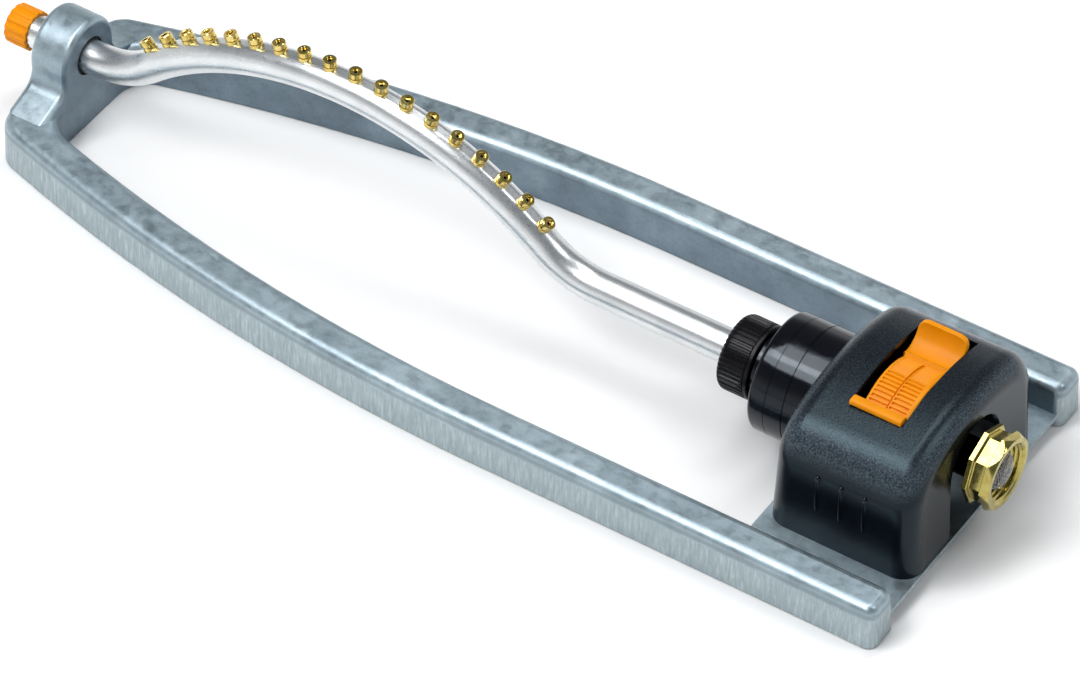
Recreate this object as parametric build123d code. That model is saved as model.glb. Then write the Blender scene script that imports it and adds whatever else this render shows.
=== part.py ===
from build123d import *
import os
from math import acos, asin, atan2, cos, degrees, pi, radians, sin, tan

# Oscillating lawn sprinkler: a bent spray tube sweeps to and fro on a cast frame,
# turned by a small water turbine and gear train under the cover at the hose end.
# Millimetres, +Z up. While it is modelled, X = 0 is the front end of the rails, +X points
# to the hose, and the tube turns about the line y = 0, z = axis_height.

# Overall layout
axis_height = 38.0
half_width = 88.0
back_x = -486.5

# Rails of the cast frame, an inverted channel
rail_height = 22.0
rail_width = 19.0
rail_wall = 3.0
rail_draft = 2.0
rail_round = 4.5
bow_start_x = -200.0
bow_radius = 960.0
outer_corner = 15.0
front_corner = 5.0
inner_corner = 16.0
end_wall = 21.5

# Pivot bracket on the end wall
boss_radius = 18.5
bracket_foot = 37.0
bracket_ramp = 6.5
bracket_fillet = 8.0
bracket_round = 3.0
bracket_setback = 1.0

# Plate under the drive
plate_front_x = -2.5
plate_length = 75.0
plate_thickness = 2.5
plate_bottom = 4.5

# Spray tube
tube_radius = 7.95
tube_wall = 1.2
arch_setback = 160.5
arch_radius = 157.0
arch_bend = 45.0
arch_rise = 51.0

# Nozzles in the arch
nozzle_count = 18
nozzle_pitch = 4.63
nozzle_radius = 3.2
nozzle_stem = 2.2
nozzle_height = 4.5
nozzle_base = 1.2
nozzle_groove = 0.5
nozzle_chamfer = 0.6
nozzle_hole = 0.55
nozzle_tail = 1.8

# Running and assembly clearances
running_fit = 0.06
slip_fit = 0.1
clearance = 0.4
wall_gap = 0.05
overshoot = 10.0

# Pivot bush
bush_wall = 1.5
bush_recess = 1.0

# Clean-out plug
plug_overhang = 20.4
plug_length = 12.4
plug_wall = 3.0
plug_radius = 9.6
plug_ribs = 14
plug_rib_depth = 0.8
plug_face_round = 1.5
seal_thickness = 1.0

# Union nut and output shaft
nut_length = 16.1
nut_radius = 17.5
nut_ribs = 44
nut_rib_depth = 0.7
nut_wall = 3.0
nut_round = 2.5
shaft_socket_wall = 3.2
shaft_socket_depth = 11.0
shaft_flange = 15.5
shaft_flange_length = 5.2
shaft_step = 2.0
shaft_wall = 1.8

# Drive casing
cap_face_x = -101.2
cap_length = 8.7
cap_wall = 3.0
cap_round = 2.5
barrel_radius = 27.5
barrel_wall = 3.0
barrel_groove_x = -84.0
barrel_groove = 0.5
barrel_inside = 9.0
casing_step = 3.5
casing_wall = 2.5
casing_ledge = 1.5
casing_back_x = -33.0
casing_back_wall = 3.0
casing_boss_radius = 13.0
casing_boss_length = 11.0
pedestal_width = 24.0
seal_width = 2.4
seal_section = 2.0

# Gear train: three stages with the same pinion and wheel
gear_room = 1.82
gear_rim = 3.6
wheel_teeth = 32
pinion_teeth = 10
pressure_angle = 25.0
addendum = 0.8
dedendum = 1.05
backlash = 0.12
gear_width = 4.5
layer_gap = 0.6
axle_radius = 1.0
axle_angle = 60.0
gear_plate_thickness = 3.0
water_hole = 3.0
water_hole_inset = 5.5

# Turbine and jets
turbine_hub = 5.0
turbine_width = 8.0
turbine_blades = 12
blade_thickness = 1.4
turbine_stem = 2.2
turbine_gap = 1.2
turbine_axle_radius = 0.8
jet_plate_thickness = 3.0
jet_radius = 1.6
jet_slant = 35.0

# Reversing lever
trip_inset = 3.5
trip_shaft = 1.6
trip_swing = 12.0
trip_arm_reach = 6.2
trip_arm_width = 2.4
flap_reach = 11.5
flap_radius = 2.2
flap_thickness = 2.0
lug_inset = 4.6
lug_width = 3.0
lug_thickness = 1.6
sweep_half = 45.0

# Cover
cover_front_x = -3.0
cover_length = 72.5
cover_half_width = 52.5
cover_over_barrel = 5.0
cover_crown_radius = 110.0
cover_draft = 2.0
cover_pitch = 2.0
cover_shoulder = 22.0
cover_corner = 10.0
cover_wall = 2.5
inlet_cutout = 20.5
boss_post_radius = 4.0
boss_post_height = 20.0
boss_inset = 6.8
screw_radius = 1.6
screw_head_radius = 3.2
screw_head_height = 1.8
screw_length = 14.0
casing_screw_length = 8.5

# Control lever on the casing
lever_back_x = -47.5
lever_width = 21.5
lever_half_span = 50.0
lever_stand = 3.5
lever_crown_y = -4.5
lever_crown_rise = 1.4
lip_extra = 3.5
lip_y = -22.0
lip_thickness = 3.4
lip_depth = 2.8
lip_drop = 2.8
lip_round = 1.2
tab_extra = 2.3
tab_foot_y = 14.5
tab_top_y = 27.5
tab_rise = 4.2
tab_hollow = 4.0
tab_thickness = 2.4
tab_corner = 4.0
slot_near_y = -25.8
slot_far_y = 36.2
slot_gap = 0.6

# Hose swivel and inlet fitting
swivel_front_x = 11.9
swivel_corner_radius = 18.0
swivel_front_length = 4.4
swivel_back_length = 4.0
swivel_length = 12.8
swivel_waist = 16.2
swivel_bevel = 1.4
thread_radius = 13.0
thread_length = 4.0
thread_relief = 0.4
swivel_back_wall = 1.6
tail_radius = 9.0
tail_bore = 6.5
tail_flange = 12.3
tail_flange_thickness = 1.5
tail_hex = 12.5
tail_hex_length = 4.5
washer_thickness = 2.0
washer_hole = 7.5
strainer_rim = 0.5
strainer_radius = 9.2
strainer_thickness = 0.5

# Places worked out from the sizes above
plate_top = plate_bottom + plate_thickness
plug_back_x = back_x - plug_overhang
tube_back_x = plug_back_x + plug_wall + seal_thickness
arch_middle_x = back_x + arch_setback
middle_x = (plug_back_x + swivel_front_x) / 2
barrel_inner = barrel_radius - barrel_wall
casing_radius = barrel_radius - casing_step
casing_inner = casing_radius - casing_wall
gear_module = (barrel_inner - gear_room) / (wheel_teeth + pinion_teeth / 2 + addendum)
wheel_radius = gear_module * wheel_teeth / 2
pinion_radius = gear_module * pinion_teeth / 2
axle_offset = wheel_radius + pinion_radius
gear_seat = wheel_radius - gear_rim
shaft_radius = gear_seat + shaft_step
shaft_bore = gear_seat - shaft_wall
lug_x = cap_face_x + cap_wall + clearance
layer_x = [lug_x + lug_thickness + i * (gear_width + layer_gap) for i in range(3)]
gear_plate_x = layer_x[2] + gear_width + layer_gap
ledge_x = gear_plate_x + gear_plate_thickness
turbine_x = ledge_x + turbine_gap
jet_plate_x = turbine_x + turbine_width + turbine_gap
flap_x = jet_plate_x + jet_plate_thickness + clearance
nut_front_x = cap_face_x - clearance - shaft_flange_length - clearance
nut_back_x = nut_front_x - nut_length
socket_x = nut_back_x + nut_wall + seal_thickness
tube_front_x = socket_x + shaft_socket_depth
socket_radius = tube_radius + shaft_socket_wall
bush_radius = tube_radius + running_fit + bush_wall
boss_x = back_x + end_wall
bracket_x = back_x + bracket_setback
cover_back_x = cover_front_x - cover_length
cover_apex = axis_height + barrel_radius + cover_over_barrel
lever_crown_radius = barrel_radius + lever_stand
shoulder_x = cover_back_x + barrel_inside
pedestal_x = (shoulder_x + casing_back_x) / 2
pedestal_length = casing_back_x - shoulder_x
swivel_back_x = swivel_front_x - swivel_length
flange_x = swivel_back_x + swivel_back_wall + clearance
trip_offset = casing_inner - trip_inset
turbine_radius = trip_offset - trip_shaft - turbine_gap
water_hole_offset = casing_inner - water_hole_inset
lug_reach = trip_offset - lug_inset
trip_spot = (0, -trip_offset)
standing = (Align.CENTER, Align.CENTER, Align.MIN)
washer_x = flange_x + tail_flange_thickness
strainer_x = washer_x + washer_thickness
thread_x = swivel_front_x - thread_length
strainer_height = thread_x - clearance - strainer_x - strainer_rim


def turned(*profile):
    """A piece of revolution about the tube's axis, from (x, radius) points."""
    outline = make_face(Plane.XZ * Polyline(*profile, close=True))
    return Pos(0, 0, axis_height) * revolve(outline, Axis.X)


def ring(start_x, end_x, outer, inner):
    """A plain round ring about the tube's axis."""
    return turned((start_x, inner), (start_x, outer), (end_x, outer), (end_x, inner))


def across(sketch, start_x, length):
    """Extrudes a sketch drawn in (y, z) along X."""
    return extrude(Plane.YZ.offset(start_x) * sketch, length)


def on_axis(y, z):
    """A point given from the tube's axis, in (y, z)."""
    return (y, z + axis_height)


# Cast frame

def plan(inset, back, front):
    """Outline of the bowed rails in plan, set in from their outer faces."""
    side = half_width - inset
    radius = bow_radius - inset
    centre_y = half_width - bow_radius
    half_turn = asin((bow_start_x - back) / radius) / 2
    middle = (bow_start_x - radius * sin(half_turn), centre_y + radius * cos(half_turn))
    end = (back, centre_y + radius * cos(2 * half_turn))
    near = [
        ThreePointArc((end[0], -end[1]), (middle[0], -middle[1]), (bow_start_x, -side)),
        Line((bow_start_x, -side), (front, -side)),
    ]
    far = [
        Line((front, side), (bow_start_x, side)),
        ThreePointArc((bow_start_x, side), middle, end),
    ]
    closing = [Line((front, -side), (front, side)), Line(end, (end[0], -end[1]))]
    return make_face(near + far + closing)


def rounded_plan(inset, back, front, corner):
    outline = plan(inset, back, front)
    return fillet(outline.vertices().sort_by(Axis.X)[:2], corner)


def bracket_profile():
    """Boss on a neck that slopes off onto the end wall, in (y, z) with the ground at 0."""
    foot = rail_height - rail_wall
    ramp = rail_height + bracket_ramp
    neck = Polyline(
        (-bracket_foot, rail_height), (-boss_radius, ramp), (-boss_radius, axis_height),
        (boss_radius, axis_height), (boss_radius, ramp), (bracket_foot, rail_height),
        (boss_radius, foot), (-boss_radius, foot), close=True,
    )
    body = make_face(neck)
    body = fillet([v for v in body.vertices() if abs(v.Y - ramp) < 0.01], bracket_fillet)
    return body + Pos(0, axis_height) * Circle(boss_radius)


def cover_screw_spots():
    left = cover_back_x + boss_inset
    right = cover_front_x - boss_inset
    side = cover_half_width - boss_inset
    return [(x, y) for x in (left, right) for y in (-side, side)]


def casing_screw_spots():
    reach = pedestal_length / 2 - 3 * screw_radius
    return [(pedestal_x - reach, 0), (pedestal_x + reach, 0)]


def make_base_frame():
    outer = extrude(rounded_plan(0, back_x, 0, outer_corner), rail_height, taper=rail_draft)
    gap = extrude(rounded_plan(rail_width, boss_x, overshoot, inner_corner), rail_height, taper=-rail_draft)
    rails = outer - gap
    upright = [e for e in rails.edges() if e.bounding_box().size.Z > rail_height / 2]
    rails = fillet([e for e in upright if e.center().X > -rail_wall], front_corner)
    rails = fillet(rails.faces().sort_by(Axis.Z)[-1].edges(), rail_round)
    channel = extrude(
        rounded_plan(rail_wall, back_x + rail_wall, -rail_wall, outer_corner - rail_wall)
        - rounded_plan(rail_width - rail_wall, boss_x - rail_wall, overshoot, inner_corner + rail_wall),
        rail_height - rail_wall,
    )
    bracket = across(bracket_profile(), bracket_x, boss_x - bracket_x)
    rim = [e for e in bracket.edges() if e.center().Z > rail_height + 1 and e.bounding_box().size.X < 0.01]
    bracket = fillet(rim, bracket_round)
    plate = Pos(plate_front_x - plate_length / 2, 0, plate_bottom + plate_thickness / 2) * Box(
        plate_length, 2 * (half_width - rail_width + rail_wall / 2), plate_thickness
    )
    frame = rails - channel + bracket + plate
    frame -= ring(back_x - overshoot, boss_x + overshoot, bush_radius, 0)
    for x, y in cover_screw_spots() + casing_screw_spots():
        frame -= Pos(x, y, plate_bottom + plate_thickness / 2) * Cylinder(
            screw_radius + clearance, 2 * plate_thickness
        )
    return frame


# Spray tube, nozzles and clean-out plug

arch_half_turn = degrees(acos(1 - arch_rise / (arch_radius + arch_bend)))
arch_centre_z = axis_height + arch_rise - arch_radius
arch_half_length = (arch_radius + arch_bend) * sin(radians(arch_half_turn))


def tube_path():
    """Straight on the axis, bent up, over the arch, bent back and straight to the drive."""
    bend_x = arch_middle_x - arch_half_length
    flat = Line((tube_back_x, axis_height), (bend_x, axis_height))
    rise = JernArc(flat @ 1, flat % 1, arch_bend, arch_half_turn)
    arch = JernArc(rise @ 1, rise % 1, arch_radius, -2 * arch_half_turn)
    fall = JernArc(arch @ 1, arch % 1, arch_bend, arch_half_turn)
    run = Line(fall @ 1, (tube_front_x, axis_height))
    return Plane.XZ * Wire([piece.edge() for piece in (flat, rise, arch, fall, run)])


def nozzle_places():
    """Planes on the arch with their Z along the nozzle and their origin on the tube's centre line."""
    first = -nozzle_pitch * (nozzle_count - 1) / 2
    places = []
    for i in range(nozzle_count):
        lean = first + i * nozzle_pitch
        x = arch_middle_x + arch_radius * sin(radians(lean))
        z = arch_centre_z + arch_radius * cos(radians(lean))
        places.append(Pos(x, 0, z) * Rot(0, lean, 0))
    return places


def make_spray_tube():
    path = tube_path()
    section = Plane(path @ 0, z_dir=path % 0)
    tube = sweep(section * Circle(tube_radius), path) - sweep(section * Circle(tube_radius - tube_wall), path)
    for place in nozzle_places():
        tube -= place * Pos(0, 0, tube_radius) * Cylinder(nozzle_stem, 4 * tube_wall)
    return tube


def make_nozzles():
    foot = tube_radius + wall_gap
    groove = foot + nozzle_base
    head = groove + nozzle_groove
    top = foot + nozzle_height
    profile = Polyline(
        (nozzle_hole, tube_radius - nozzle_tail), (nozzle_stem, tube_radius - nozzle_tail),
        (nozzle_stem, foot), (nozzle_radius, foot), (nozzle_radius, groove),
        (nozzle_radius - nozzle_groove, groove), (nozzle_radius - nozzle_groove, head),
        (nozzle_radius, head), (nozzle_radius, top - nozzle_chamfer),
        (nozzle_radius - nozzle_chamfer, top), (nozzle_hole, top), close=True,
    )
    jet = revolve(make_face(Plane.XZ * profile), Axis.Z)
    return [place * jet for place in nozzle_places()]


def ribbed_outline(radius, depth, count):
    """A round outline with straight-sided ribs, in (y, z) about the tube's axis."""
    step = 2 * pi / count
    points = []
    for i in range(count):
        for share, r in ((0.0, radius - depth), (0.3, radius - depth), (0.45, radius), (0.85, radius)):
            angle = (i + share) * step
            points.append(on_axis(r * cos(angle), r * sin(angle)))
    return make_face(Polyline(*points, close=True))


def make_end_cap():
    bore = tube_radius + wall_gap
    front_x = plug_back_x + plug_length
    body = across(ribbed_outline(plug_radius, plug_rib_depth, plug_ribs), plug_back_x, plug_length)
    form = turned(
        (plug_back_x, 0), (plug_back_x, plug_radius - plug_face_round),
        (plug_back_x + plug_face_round, plug_radius), (front_x, plug_radius), (front_x, bore),
        (plug_back_x + plug_wall, bore), (plug_back_x + plug_wall, 0),
    )
    return body & form


def make_end_cap_seal():
    return ring(tube_back_x - seal_thickness, tube_back_x, tube_radius, tube_radius - tube_wall)


def make_pivot_bush():
    return ring(bracket_x + bush_recess, boss_x - bush_recess, bush_radius, tube_radius + running_fit)


# Union nut and output shaft

def make_tube_nut():
    body = across(ribbed_outline(nut_radius, nut_rib_depth, nut_ribs), nut_back_x, nut_length)
    envelope = turned(
        (nut_back_x, 0), (nut_back_x, nut_radius - 2 * nut_round), (nut_back_x + nut_round, nut_radius),
        (nut_front_x, nut_radius), (nut_front_x, 0),
    )
    passage = turned(
        (nut_back_x - 1, 0), (nut_back_x - 1, tube_radius + clearance),
        (nut_back_x + nut_wall, tube_radius + clearance), (nut_back_x + nut_wall, socket_radius + slip_fit),
        (nut_front_x + 1, socket_radius + slip_fit), (nut_front_x + 1, 0),
    )
    return (body & envelope) - passage


def make_tube_seal():
    start = nut_back_x + nut_wall
    return ring(start, start + seal_thickness, socket_radius, tube_radius + wall_gap)


def make_output_shaft():
    shoulder_x = nut_front_x + clearance
    bearing_x = cap_face_x - clearance
    seat_x = lug_x
    end_x = layer_x[0] + gear_width
    return turned(
        (socket_x, tube_radius + wall_gap), (socket_x, socket_radius), (shoulder_x, socket_radius),
        (shoulder_x, shaft_flange), (bearing_x, shaft_flange), (bearing_x, shaft_radius),
        (seat_x, shaft_radius), (seat_x, gear_seat), (end_x, gear_seat), (end_x, shaft_bore),
        (tube_front_x, shaft_bore), (tube_front_x, tube_radius + wall_gap),
    )


# Drive casing

def make_casing_cap():
    outer = barrel_radius
    bore = shaft_radius + running_fit
    pocket = bore + seal_section
    inner_x = cap_face_x + cap_wall
    end_x = cap_face_x + cap_length
    return turned(
        (cap_face_x, pocket), (cap_face_x, outer - 2 * cap_round), (cap_face_x + cap_round, outer),
        (end_x, outer), (end_x, barrel_inner), (inner_x, barrel_inner), (inner_x, bore),
        (cap_face_x + seal_width, bore), (cap_face_x + seal_width, pocket),
    )


def make_shaft_seal():
    bore = shaft_radius + running_fit
    return ring(cap_face_x + slip_fit, cap_face_x + seal_width, bore + seal_section - slip_fit, bore)


def make_drive_casing():
    barrel_x = cap_face_x + cap_length
    back_in_x = casing_back_x - casing_back_wall
    boss_end_x = casing_back_x + casing_boss_length
    seat_x = jet_plate_x + jet_plate_thickness
    body = turned(
        (barrel_x, barrel_inner), (barrel_x, barrel_radius),
        (barrel_groove_x, barrel_radius), (barrel_groove_x, barrel_radius - barrel_groove),
        (barrel_groove_x + barrel_groove, barrel_radius - barrel_groove),
        (barrel_groove_x + barrel_groove, barrel_radius),
        (shoulder_x, barrel_radius), (shoulder_x, casing_radius), (casing_back_x, casing_radius),
        (casing_back_x, casing_boss_radius), (boss_end_x, casing_boss_radius), (boss_end_x, tail_radius),
        (back_in_x, tail_radius), (back_in_x, casing_inner - casing_ledge),
        (seat_x, casing_inner - casing_ledge), (seat_x, casing_inner),
        (ledge_x, casing_inner), (ledge_x, barrel_inner),
    )
    height = axis_height - plate_top
    pedestal = Pos(pedestal_x, 0, plate_top + height / 2) * Box(pedestal_length, pedestal_width, height)
    pedestal -= ring(cap_face_x, swivel_front_x, casing_radius - casing_wall / 2, 0)
    casing = body + pedestal
    for x, y in casing_screw_spots():
        casing -= Pos(x, y, plate_bottom) * Cylinder(screw_radius, casing_screw_length, align=standing)
    return casing


# Gear train

def half_tooth(teeth, radius):
    """Half the angle of a tooth at a radius, for an involute flank thinned by the backlash."""
    pitch = gear_module * teeth / 2
    base = pitch * cos(radians(pressure_angle))

    def involute(r):
        slant = acos(min(1.0, base / max(r, base)))
        return tan(slant) - slant

    return pi / (2 * teeth) - backlash / (2 * pitch) + involute(pitch) - involute(radius)


def gear_outline(teeth, phase):
    """Toothed outline about the sketch's origin, with a tooth at the angle phase."""
    pitch = gear_module * teeth / 2
    radii = (pitch - dedendum * gear_module, pitch, pitch + addendum * gear_module)
    points = []
    for i in range(teeth):
        middle = phase + 2 * pi * i / teeth
        for side, order in ((-1, radii), (1, radii[::-1])):
            for r in order:
                angle = middle + side * half_tooth(teeth, r)
                points.append((r * cos(angle), r * sin(angle)))
    return make_face(Polyline(*points, close=True))


def meshing_phase(teeth, phase, mate_teeth, bearing):
    """Phase of a gear whose gap meets the other's tooth, seen along the bearing to it."""
    step = 2 * pi / teeth
    mate_step = 2 * pi / mate_teeth
    share = ((bearing - phase) / step) % 1.0
    return bearing + pi - (0.5 - share) * mate_step


def axle_spot(side):
    """Place of a double gear's axle, from the tube's axis."""
    angle = radians(90 + side * (90 - axle_angle))
    return (axle_offset * cos(angle), axle_offset * sin(angle))


second_spot = axle_spot(-1)
first_spot = axle_spot(1)
output_phase = 0.0
to_second = atan2(second_spot[1], second_spot[0])
second_pinion_phase = meshing_phase(wheel_teeth, output_phase, pinion_teeth, to_second)
second_wheel_phase = 0.0
to_first = atan2(first_spot[1] - second_spot[1], first_spot[0] - second_spot[0])
first_pinion_phase = meshing_phase(wheel_teeth, second_wheel_phase, pinion_teeth, to_first)
first_wheel_phase = 0.0
to_turbine = atan2(-first_spot[1], -first_spot[0])
turbine_phase = meshing_phase(wheel_teeth, first_wheel_phase, pinion_teeth, to_turbine)


def gear(teeth, phase, layer, spot):
    return across(Pos(*on_axis(*spot)) * gear_outline(teeth, phase), layer_x[layer], gear_width)


def round_bar(radius, start_x, length, spot):
    return across(Pos(*on_axis(*spot)) * Circle(radius), start_x, length)


def double_gear(spot, pinion_phase, pinion_layer, wheel_phase, wheel_layer):
    hub_radius = pinion_radius - dedendum * gear_module
    hub = round_bar(hub_radius, layer_x[pinion_layer] + gear_width, layer_gap, spot)
    body = gear(pinion_teeth, pinion_phase, pinion_layer, spot) + hub
    body += gear(wheel_teeth, wheel_phase, wheel_layer, spot)
    return body - round_bar(axle_radius + running_fit, layer_x[0] - 1, 4 * gear_width, spot)


def make_output_gear():
    """The last wheel, with the two lugs that trip the reversing lever at the ends of the sweep."""
    body = gear(wheel_teeth, output_phase, 0, (0, 0))
    arm_tip = trip_offset - trip_arm_reach
    arm_angle = asin(trip_arm_width / 2 / arm_tip)
    swing_angle = asin(trip_arm_reach * sin(radians(trip_swing)) / arm_tip)
    lug_angle = asin(lug_width / 2 / arm_tip)
    turn = sweep_half + degrees(arm_angle + swing_angle + lug_angle)
    lugs = Pos(*on_axis(0, 0)) * Circle(wheel_radius - gear_module)
    for side in (-1, 1):
        bar = Pos(lug_reach / 2, 0) * Rectangle(lug_reach, lug_width)
        lugs += Pos(*on_axis(0, 0)) * Rot(0, 0, -90 + side * turn) * bar
    body += across(lugs, lug_x, lug_thickness)
    return body - round_bar(gear_seat, lug_x - 1, layer_x[1] - lug_x + 1, (0, 0))


def make_second_reduction_gear():
    return double_gear(second_spot, second_pinion_phase, 0, second_wheel_phase, 1)


def make_first_reduction_gear():
    return double_gear(first_spot, first_pinion_phase, 1, first_wheel_phase, 2)


def make_gear_axles():
    return [round_bar(axle_radius, lug_x, ledge_x - lug_x, spot) for spot in (second_spot, first_spot)]


def make_gear_plate():
    plate = ring(gear_plate_x, ledge_x, barrel_inner - slip_fit, pinion_radius + gear_module + clearance)
    for spot in (second_spot, first_spot):
        plate -= round_bar(axle_radius, gear_plate_x - 1, gear_plate_thickness + 2, spot)
    for angle in (200, 340):
        spot = (water_hole_offset * cos(radians(angle)), water_hole_offset * sin(radians(angle)))
        plate -= round_bar(water_hole, gear_plate_x - 1, gear_plate_thickness + 2, spot)
    return plate - round_bar(trip_shaft + running_fit, gear_plate_x - 1, gear_plate_thickness + 2, trip_spot)


# Turbine, jets and reversing lever

def make_turbine_wheel():
    """Straight paddles, because the water drives it either way, with the pinion on its stem."""
    reach = turbine_radius - turbine_hub / 2
    paddles = Circle(turbine_hub)
    for i in range(turbine_blades):
        blade = Pos(turbine_hub / 2 + reach / 2, 0) * Rectangle(reach, blade_thickness)
        paddles += Rot(0, 0, 360 * i / turbine_blades) * blade
    wheel = across(Pos(*on_axis(0, 0)) * paddles, turbine_x, turbine_width)
    stem_x = layer_x[2] + gear_width
    wheel += round_bar(turbine_stem, stem_x, turbine_x - stem_x, (0, 0))
    wheel += gear(pinion_teeth, turbine_phase, 2, (0, 0))
    bore_x = layer_x[2] - 1
    return wheel - round_bar(turbine_axle_radius + running_fit, bore_x, flap_x - bore_x, (0, 0))


def make_turbine_axle():
    return round_bar(turbine_axle_radius, layer_x[2], jet_plate_x + jet_plate_thickness - layer_x[2], (0, 0))


def flap_spot(side):
    """Where the flap closes a jet, from the tube's axis."""
    swing = radians(side * trip_swing)
    return (flap_reach * sin(swing), flap_reach * cos(swing) - trip_offset)


def make_jet_plate():
    plate = ring(jet_plate_x, jet_plate_x + jet_plate_thickness, casing_inner - slip_fit, turbine_axle_radius)
    plate -= round_bar(trip_shaft + running_fit, jet_plate_x - 1, jet_plate_thickness + 2, trip_spot)
    for side in (-1, 1):
        y, z = on_axis(*flap_spot(side))
        mouth = Pos(jet_plate_x + jet_plate_thickness, y, z) * Rot(0, -90, -side * jet_slant)
        plate -= mouth * Cylinder(jet_radius, 6 * jet_plate_thickness)
    return plate


def make_reversing_lever():
    """Trip arm, shaft and flap in one, resting with the flap on one jet."""
    pivot = Pos(*on_axis(*trip_spot)) * Rot(0, 0, trip_swing)
    arm = Pos(0, trip_arm_reach / 2) * Rectangle(trip_arm_width, trip_arm_reach) + Circle(trip_shaft)
    flap = Pos(0, flap_reach / 2) * Rectangle(trip_arm_width, flap_reach) + Circle(trip_shaft)
    flap += Pos(0, flap_reach) * Circle(flap_radius)
    lever = across(pivot * arm, lug_x, lug_thickness)
    lever += across(pivot * flap, flap_x, flap_thickness)
    return lever + round_bar(trip_shaft, lug_x, flap_x - lug_x, trip_spot)


# Cover and its screws

def cover_form(inset):
    """Drafted block under a crowned top with soft shoulders, set in from the outer faces."""
    height = cover_apex - plate_top + overshoot
    lean = tan(radians(cover_draft))
    side = cover_half_width - inset
    start = cover_back_x + inset
    end = cover_front_x - inset
    middle = (start + end) / 2
    low = plate_top - overshoot
    foot = side + overshoot * lean
    brow = side - height * lean
    walls = make_face(Polyline(
        (-foot, low), (foot, low), (brow, plate_top + height), (-brow, plate_top + height), close=True,
    ))
    section = walls & Pos(0, cover_apex - cover_crown_radius) * Circle(cover_crown_radius - inset)
    section = fillet(section.vertices().sort_by(Axis.Y)[-2:], cover_shoulder - inset)
    loaf = Pos(middle, 0, cover_apex) * Rot(0, -cover_pitch, 0) * Pos(-middle, 0, -cover_apex) * across(
        section, start - overshoot, end - start + 2 * overshoot
    )
    ends = make_face(Plane.XZ * Polyline(
        (start, plate_top), (end, plate_top), (end - height * lean, plate_top + height),
        (start + height * lean, plate_top + height), close=True,
    ))
    form = loaf & extrude(ends, 2 * side, both=True)
    faces = form.faces().sort_by(Axis.X)
    rim = [e for face in (faces[0], faces[-1]) for e in face.edges() if e.center().Z > plate_top + 1]
    return fillet(rim, cover_corner - inset)


def make_motor_cover():
    form = cover_form(0)
    cover = form - cover_form(cover_wall)
    for x, y in cover_screw_spots():
        post = Pos(x, y, plate_top) * Cylinder(boss_post_radius, boss_post_height, align=standing)
        cover += post & form
        cover -= Pos(x, y, plate_bottom) * Cylinder(screw_radius, screw_length, align=standing)
    barrel_gap = barrel_radius + clearance
    for radius, start in ((barrel_gap, cover_back_x - 1), (inlet_cutout, cover_front_x - cover_length / 2)):
        opening = Pos(*on_axis(0, 0)) * Circle(radius)
        opening += Pos(0, axis_height / 2) * Rectangle(2 * radius, axis_height)
        cover -= across(opening, start, cover_length / 2 + 1)
    slot_x = lever_back_x - lip_extra - slot_gap
    slot_length = lip_extra + lever_width + 2 * slot_gap
    slot = Box(slot_length, slot_far_y - slot_near_y, axis_height, align=(Align.MIN, Align.MIN, Align.MIN))
    return cover - Pos(slot_x, slot_near_y, axis_height + barrel_radius / 2) * slot


def screws(spots, length):
    bottom = plate_bottom - screw_head_height
    head = Cylinder(screw_head_radius, screw_head_height, align=standing)
    shank = Cylinder(screw_radius, screw_head_height + length, align=standing)
    return [Pos(x, y, bottom) * (head + shank) for x, y in spots]


# Control lever

def lever_saddle():
    """Section of the saddle: round the casing inside, crowned outside."""
    inner = CenterArc((0, 0), casing_radius + clearance, 90 - lever_half_span, 2 * lever_half_span)
    outer = CenterArc(
        (lever_crown_y, lever_crown_rise), lever_crown_radius,
        degrees(acos((tab_foot_y - lever_crown_y) / lever_crown_radius)),
        degrees(asin((tab_foot_y - lever_crown_y) / lever_crown_radius)
                - asin((lip_y - lever_crown_y) / lever_crown_radius)),
    )
    return make_face([inner, outer, Line(inner @ 0, outer @ 0), Line(inner @ 1, outer @ 1)])


def lever_lip():
    """Section of the raised lip at the near end."""
    top = cover_apex - axis_height - lip_drop
    lip = make_face(Polyline(
        (lip_y, top), (lip_y - lip_thickness, top), (lip_y - lip_thickness, top - lip_depth),
        (lip_y + lip_thickness / 2, top - 3 * lip_depth), (lip_y + lip_thickness / 2, top - lip_depth),
        close=True,
    ))
    return fillet(lip.vertices().sort_by(Axis.Y)[-2:], lip_round)


def lever_tab():
    """Section of the hollow thumb tab at the far end."""
    reach = tab_foot_y - lever_crown_y
    foot = (tab_foot_y, lever_crown_rise + (lever_crown_radius**2 - reach**2) ** 0.5)
    top = (tab_top_y, lever_crown_radius + tab_rise)
    slope = atan2(top[1] - foot[1], top[0] - foot[0])
    middle = (
        (foot[0] + top[0]) / 2 + tab_hollow * sin(slope),
        (foot[1] + top[1]) / 2 - tab_hollow * cos(slope),
    )
    near = ThreePointArc(foot, middle, top)
    far = ThreePointArc(
        (top[0] + tab_thickness, top[1]), (middle[0] + tab_thickness / 2, middle[1] - tab_thickness),
        (foot[0], foot[1] - 2 * tab_thickness),
    )
    return make_face([near, far, Line(near @ 1, far @ 0), Line(far @ 1, near @ 0)])


def make_control_lever():
    """A saddle that slides round the casing, with a lip at the near end and a tab at the far end."""
    centre = Pos(*on_axis(0, 0))
    tab = across(centre * lever_tab(), lever_back_x - tab_extra, lever_width + tab_extra)
    top_edges = tab.faces().sort_by(Axis.Z)[-1].edges().sort_by(SortBy.LENGTH)[:2]
    lever = across(centre * lever_saddle(), lever_back_x, lever_width)
    lever += across(centre * lever_lip(), lever_back_x - lip_extra, lever_width + lip_extra)
    return lever + fillet(top_edges, tab_corner)


# Hose inlet

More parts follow.
